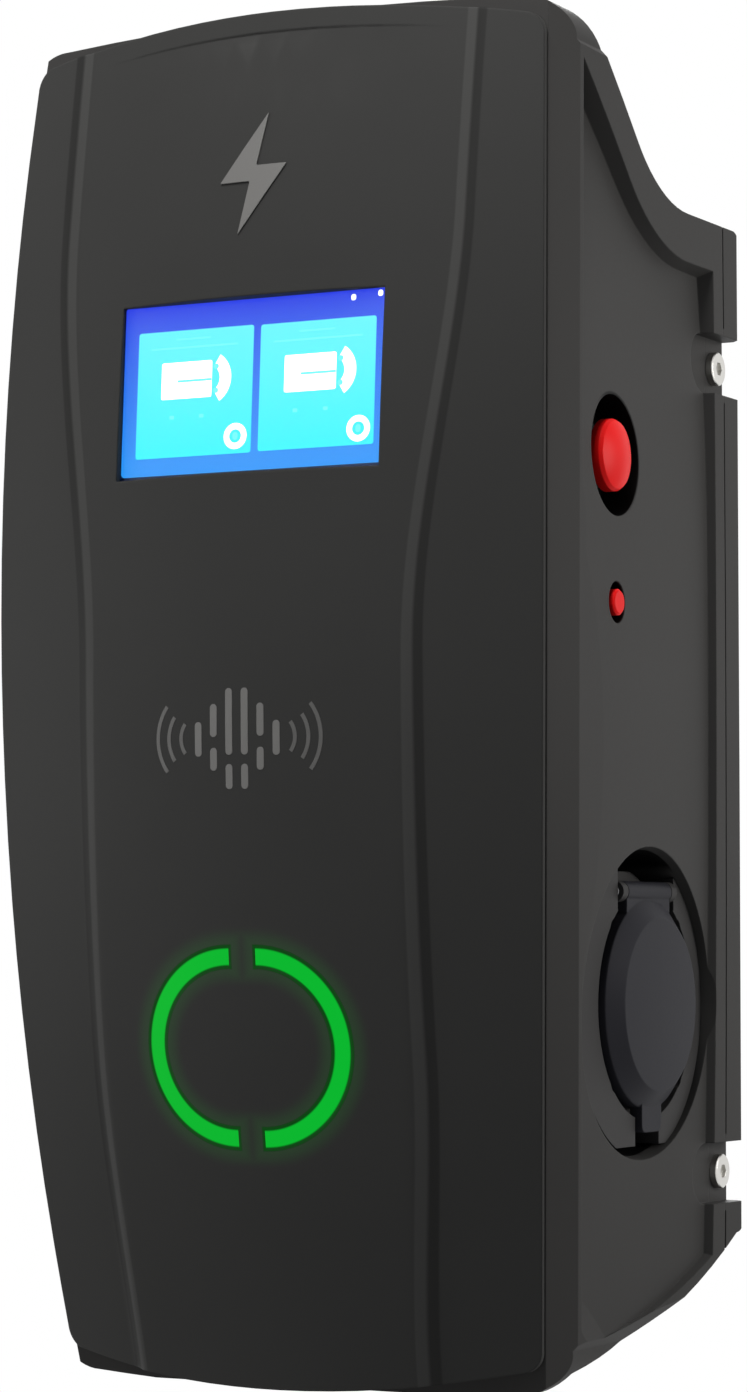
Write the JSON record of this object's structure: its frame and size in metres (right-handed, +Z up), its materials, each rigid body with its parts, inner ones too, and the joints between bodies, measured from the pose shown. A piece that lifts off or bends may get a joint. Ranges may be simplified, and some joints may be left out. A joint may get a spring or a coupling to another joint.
{
  "type": "ev charger",
  "caption": "Wall-mounted electric vehicle charging station with a display, a card reader, a ring light, flap-covered side sockets, an emergency stop and a reset button.",
  "frame": {"origin": "centre of the four wall bolts, on the wall plane", "axes": "+X to the viewer's right, +Y into the wall, +Z up"},
  "size_m": [0.2511, 0.1988, 0.5268],
  "materials": {
    "housing_plastic": "satin",
    "cover_plastic": "satin",
    "seal_rubber": "matt",
    "zinc_steel": "zinc",
    "screw_steel": "satin",
    "galvanised_sheet": "galvanised",
    "window_glass": "clear",
    "display_panel": "lit panel",
    "circuit_board": "solder mask",
    "light_guide": "lit",
    "socket_plastic": "satin",
    "flap_plastic": "semi gloss",
    "contact_brass": "plain",
    "black_plastic": "moulded",
    "red_plastic": "gloss",
    "device_plastic": "moulded"
  },
  "bodies": {
    "station": {"back_cover": "housing_plastic", "back_screws": "zinc_steel", "board_screws": "zinc_steel", "bracket_screws": "screw_steel", "chassis_plate": "galvanised_sheet", "chassis_screws": "zinc_steel", "contactor_left": "device_plastic", "contactor_right": "device_plastic", "contacts_left": "contact_brass", "contacts_right": "contact_brass", "control_board": "circuit_board", "cover_gasket": "seal_rubber", "cover_screws": "zinc_steel", "din_rail": "galvanised_sheet", "display_board": "circuit_board", "display_module": "display_panel", "display_window": "window_glass", "earth_bar": "contact_brass", "energy_meter": "device_plastic", "front_cover": "cover_plastic", "gland_body": "black_plastic", "gland_cap": "black_plastic", "gland_nut": "black_plastic", "gland_seal": "seal_rubber", "hinge_pin_left": "zinc_steel", "hinge_pin_right": "zinc_steel", "housing": "housing_plastic", "light_board": "circuit_board", "light_guide_left": "light_guide", "light_guide_right": "light_guide", "lock_motor_left": "black_plastic", "lock_motor_right": "black_plastic", "power_supply": "device_plastic", "rcbo_left": "device_plastic", "rcbo_right": "device_plastic", "reader_board": "circuit_board", "reset_bezel": "black_plastic", "reset_block": "black_plastic", "socket_body_left": "socket_plastic", "socket_body_right": "socket_plastic", "socket_insert_left": "socket_plastic", "socket_insert_right": "socket_plastic", "socket_screws_left": "zinc_steel", "socket_screws_right": "zinc_steel", "stop_block": "black_plastic", "stop_collar": "black_plastic", "stop_nut": "black_plastic", "terminal_block": "device_plastic", "wall_bracket": "galvanised_sheet"},
    "right_flap": {"flap_right": "flap_plastic", "flap_seal_right": "seal_rubber"},
    "left_flap": {"flap_left": "flap_plastic", "flap_seal_left": "seal_rubber"},
    "stop_stem": {"stop_stem": "black_plastic"},
    "stop_head": {"stop_head": "red_plastic"},
    "reset_cap": {"reset_cap": "red_plastic"},
    "right_lock_pin": {"lock_pin_right": "zinc_steel"},
    "left_lock_pin": {"lock_pin_left": "zinc_steel"},
    "right_breaker_lever": {"rcbo_lever_right": "black_plastic"},
    "left_breaker_lever": {"rcbo_lever_left": "black_plastic"}
  },
  "joints": [
    {"name": "right_flap_hinge", "type": "hinge", "parent": "station", "child": "right_flap", "pos_m": [0.114, -0.0855, -0.0685], "axis": [0, -1, 0], "range_deg": [0, 95], "stiffness_Nm_per_rad": 0.04, "springref_deg": -17.19},
    {"name": "left_flap_hinge", "type": "hinge", "parent": "station", "child": "left_flap", "pos_m": [-0.114, -0.0855, -0.0685], "axis": [0, 1, 0], "range_deg": [0, 95], "stiffness_Nm_per_rad": 0.04, "springref_deg": -17.19},
    {"name": "stop_press", "type": "slide", "parent": "station", "child": "stop_stem", "axis": [-1, 0, 0], "range_m": [0, 0.005]},
    {"name": "stop_twist", "type": "hinge", "parent": "stop_stem", "child": "stop_head", "pos_m": [0.118, -0.128, 0.095], "axis": [1, 0, 0], "range_deg": [-45, 0], "stiffness_Nm_per_rad": 0.02},
    {"name": "reset_press", "type": "slide", "parent": "station", "child": "reset_cap", "axis": [-1, 0, 0], "range_m": [0, 0.0025], "stiffness_N_per_m": 300, "springref_m": -0.001},
    {"name": "right_lock_slide", "type": "slide", "parent": "station", "child": "right_lock_pin", "axis": [0, 0, -1], "range_m": [0, 0.004]},
    {"name": "left_lock_slide", "type": "slide", "parent": "station", "child": "left_lock_pin", "axis": [0, 0, -1], "range_m": [0, 0.004]},
    {"name": "right_breaker_swing", "type": "hinge", "parent": "station", "child": "right_breaker_lever", "pos_m": [0.021, -0.0965, 0.13], "axis": [1, 0, 0], "range_deg": [0, 70]},
    {"name": "left_breaker_swing", "type": "hinge", "parent": "station", "child": "left_breaker_lever", "pos_m": [-0.021, -0.0965, 0.13], "axis": [1, 0, 0], "range_deg": [0, 70]}
  ]
}
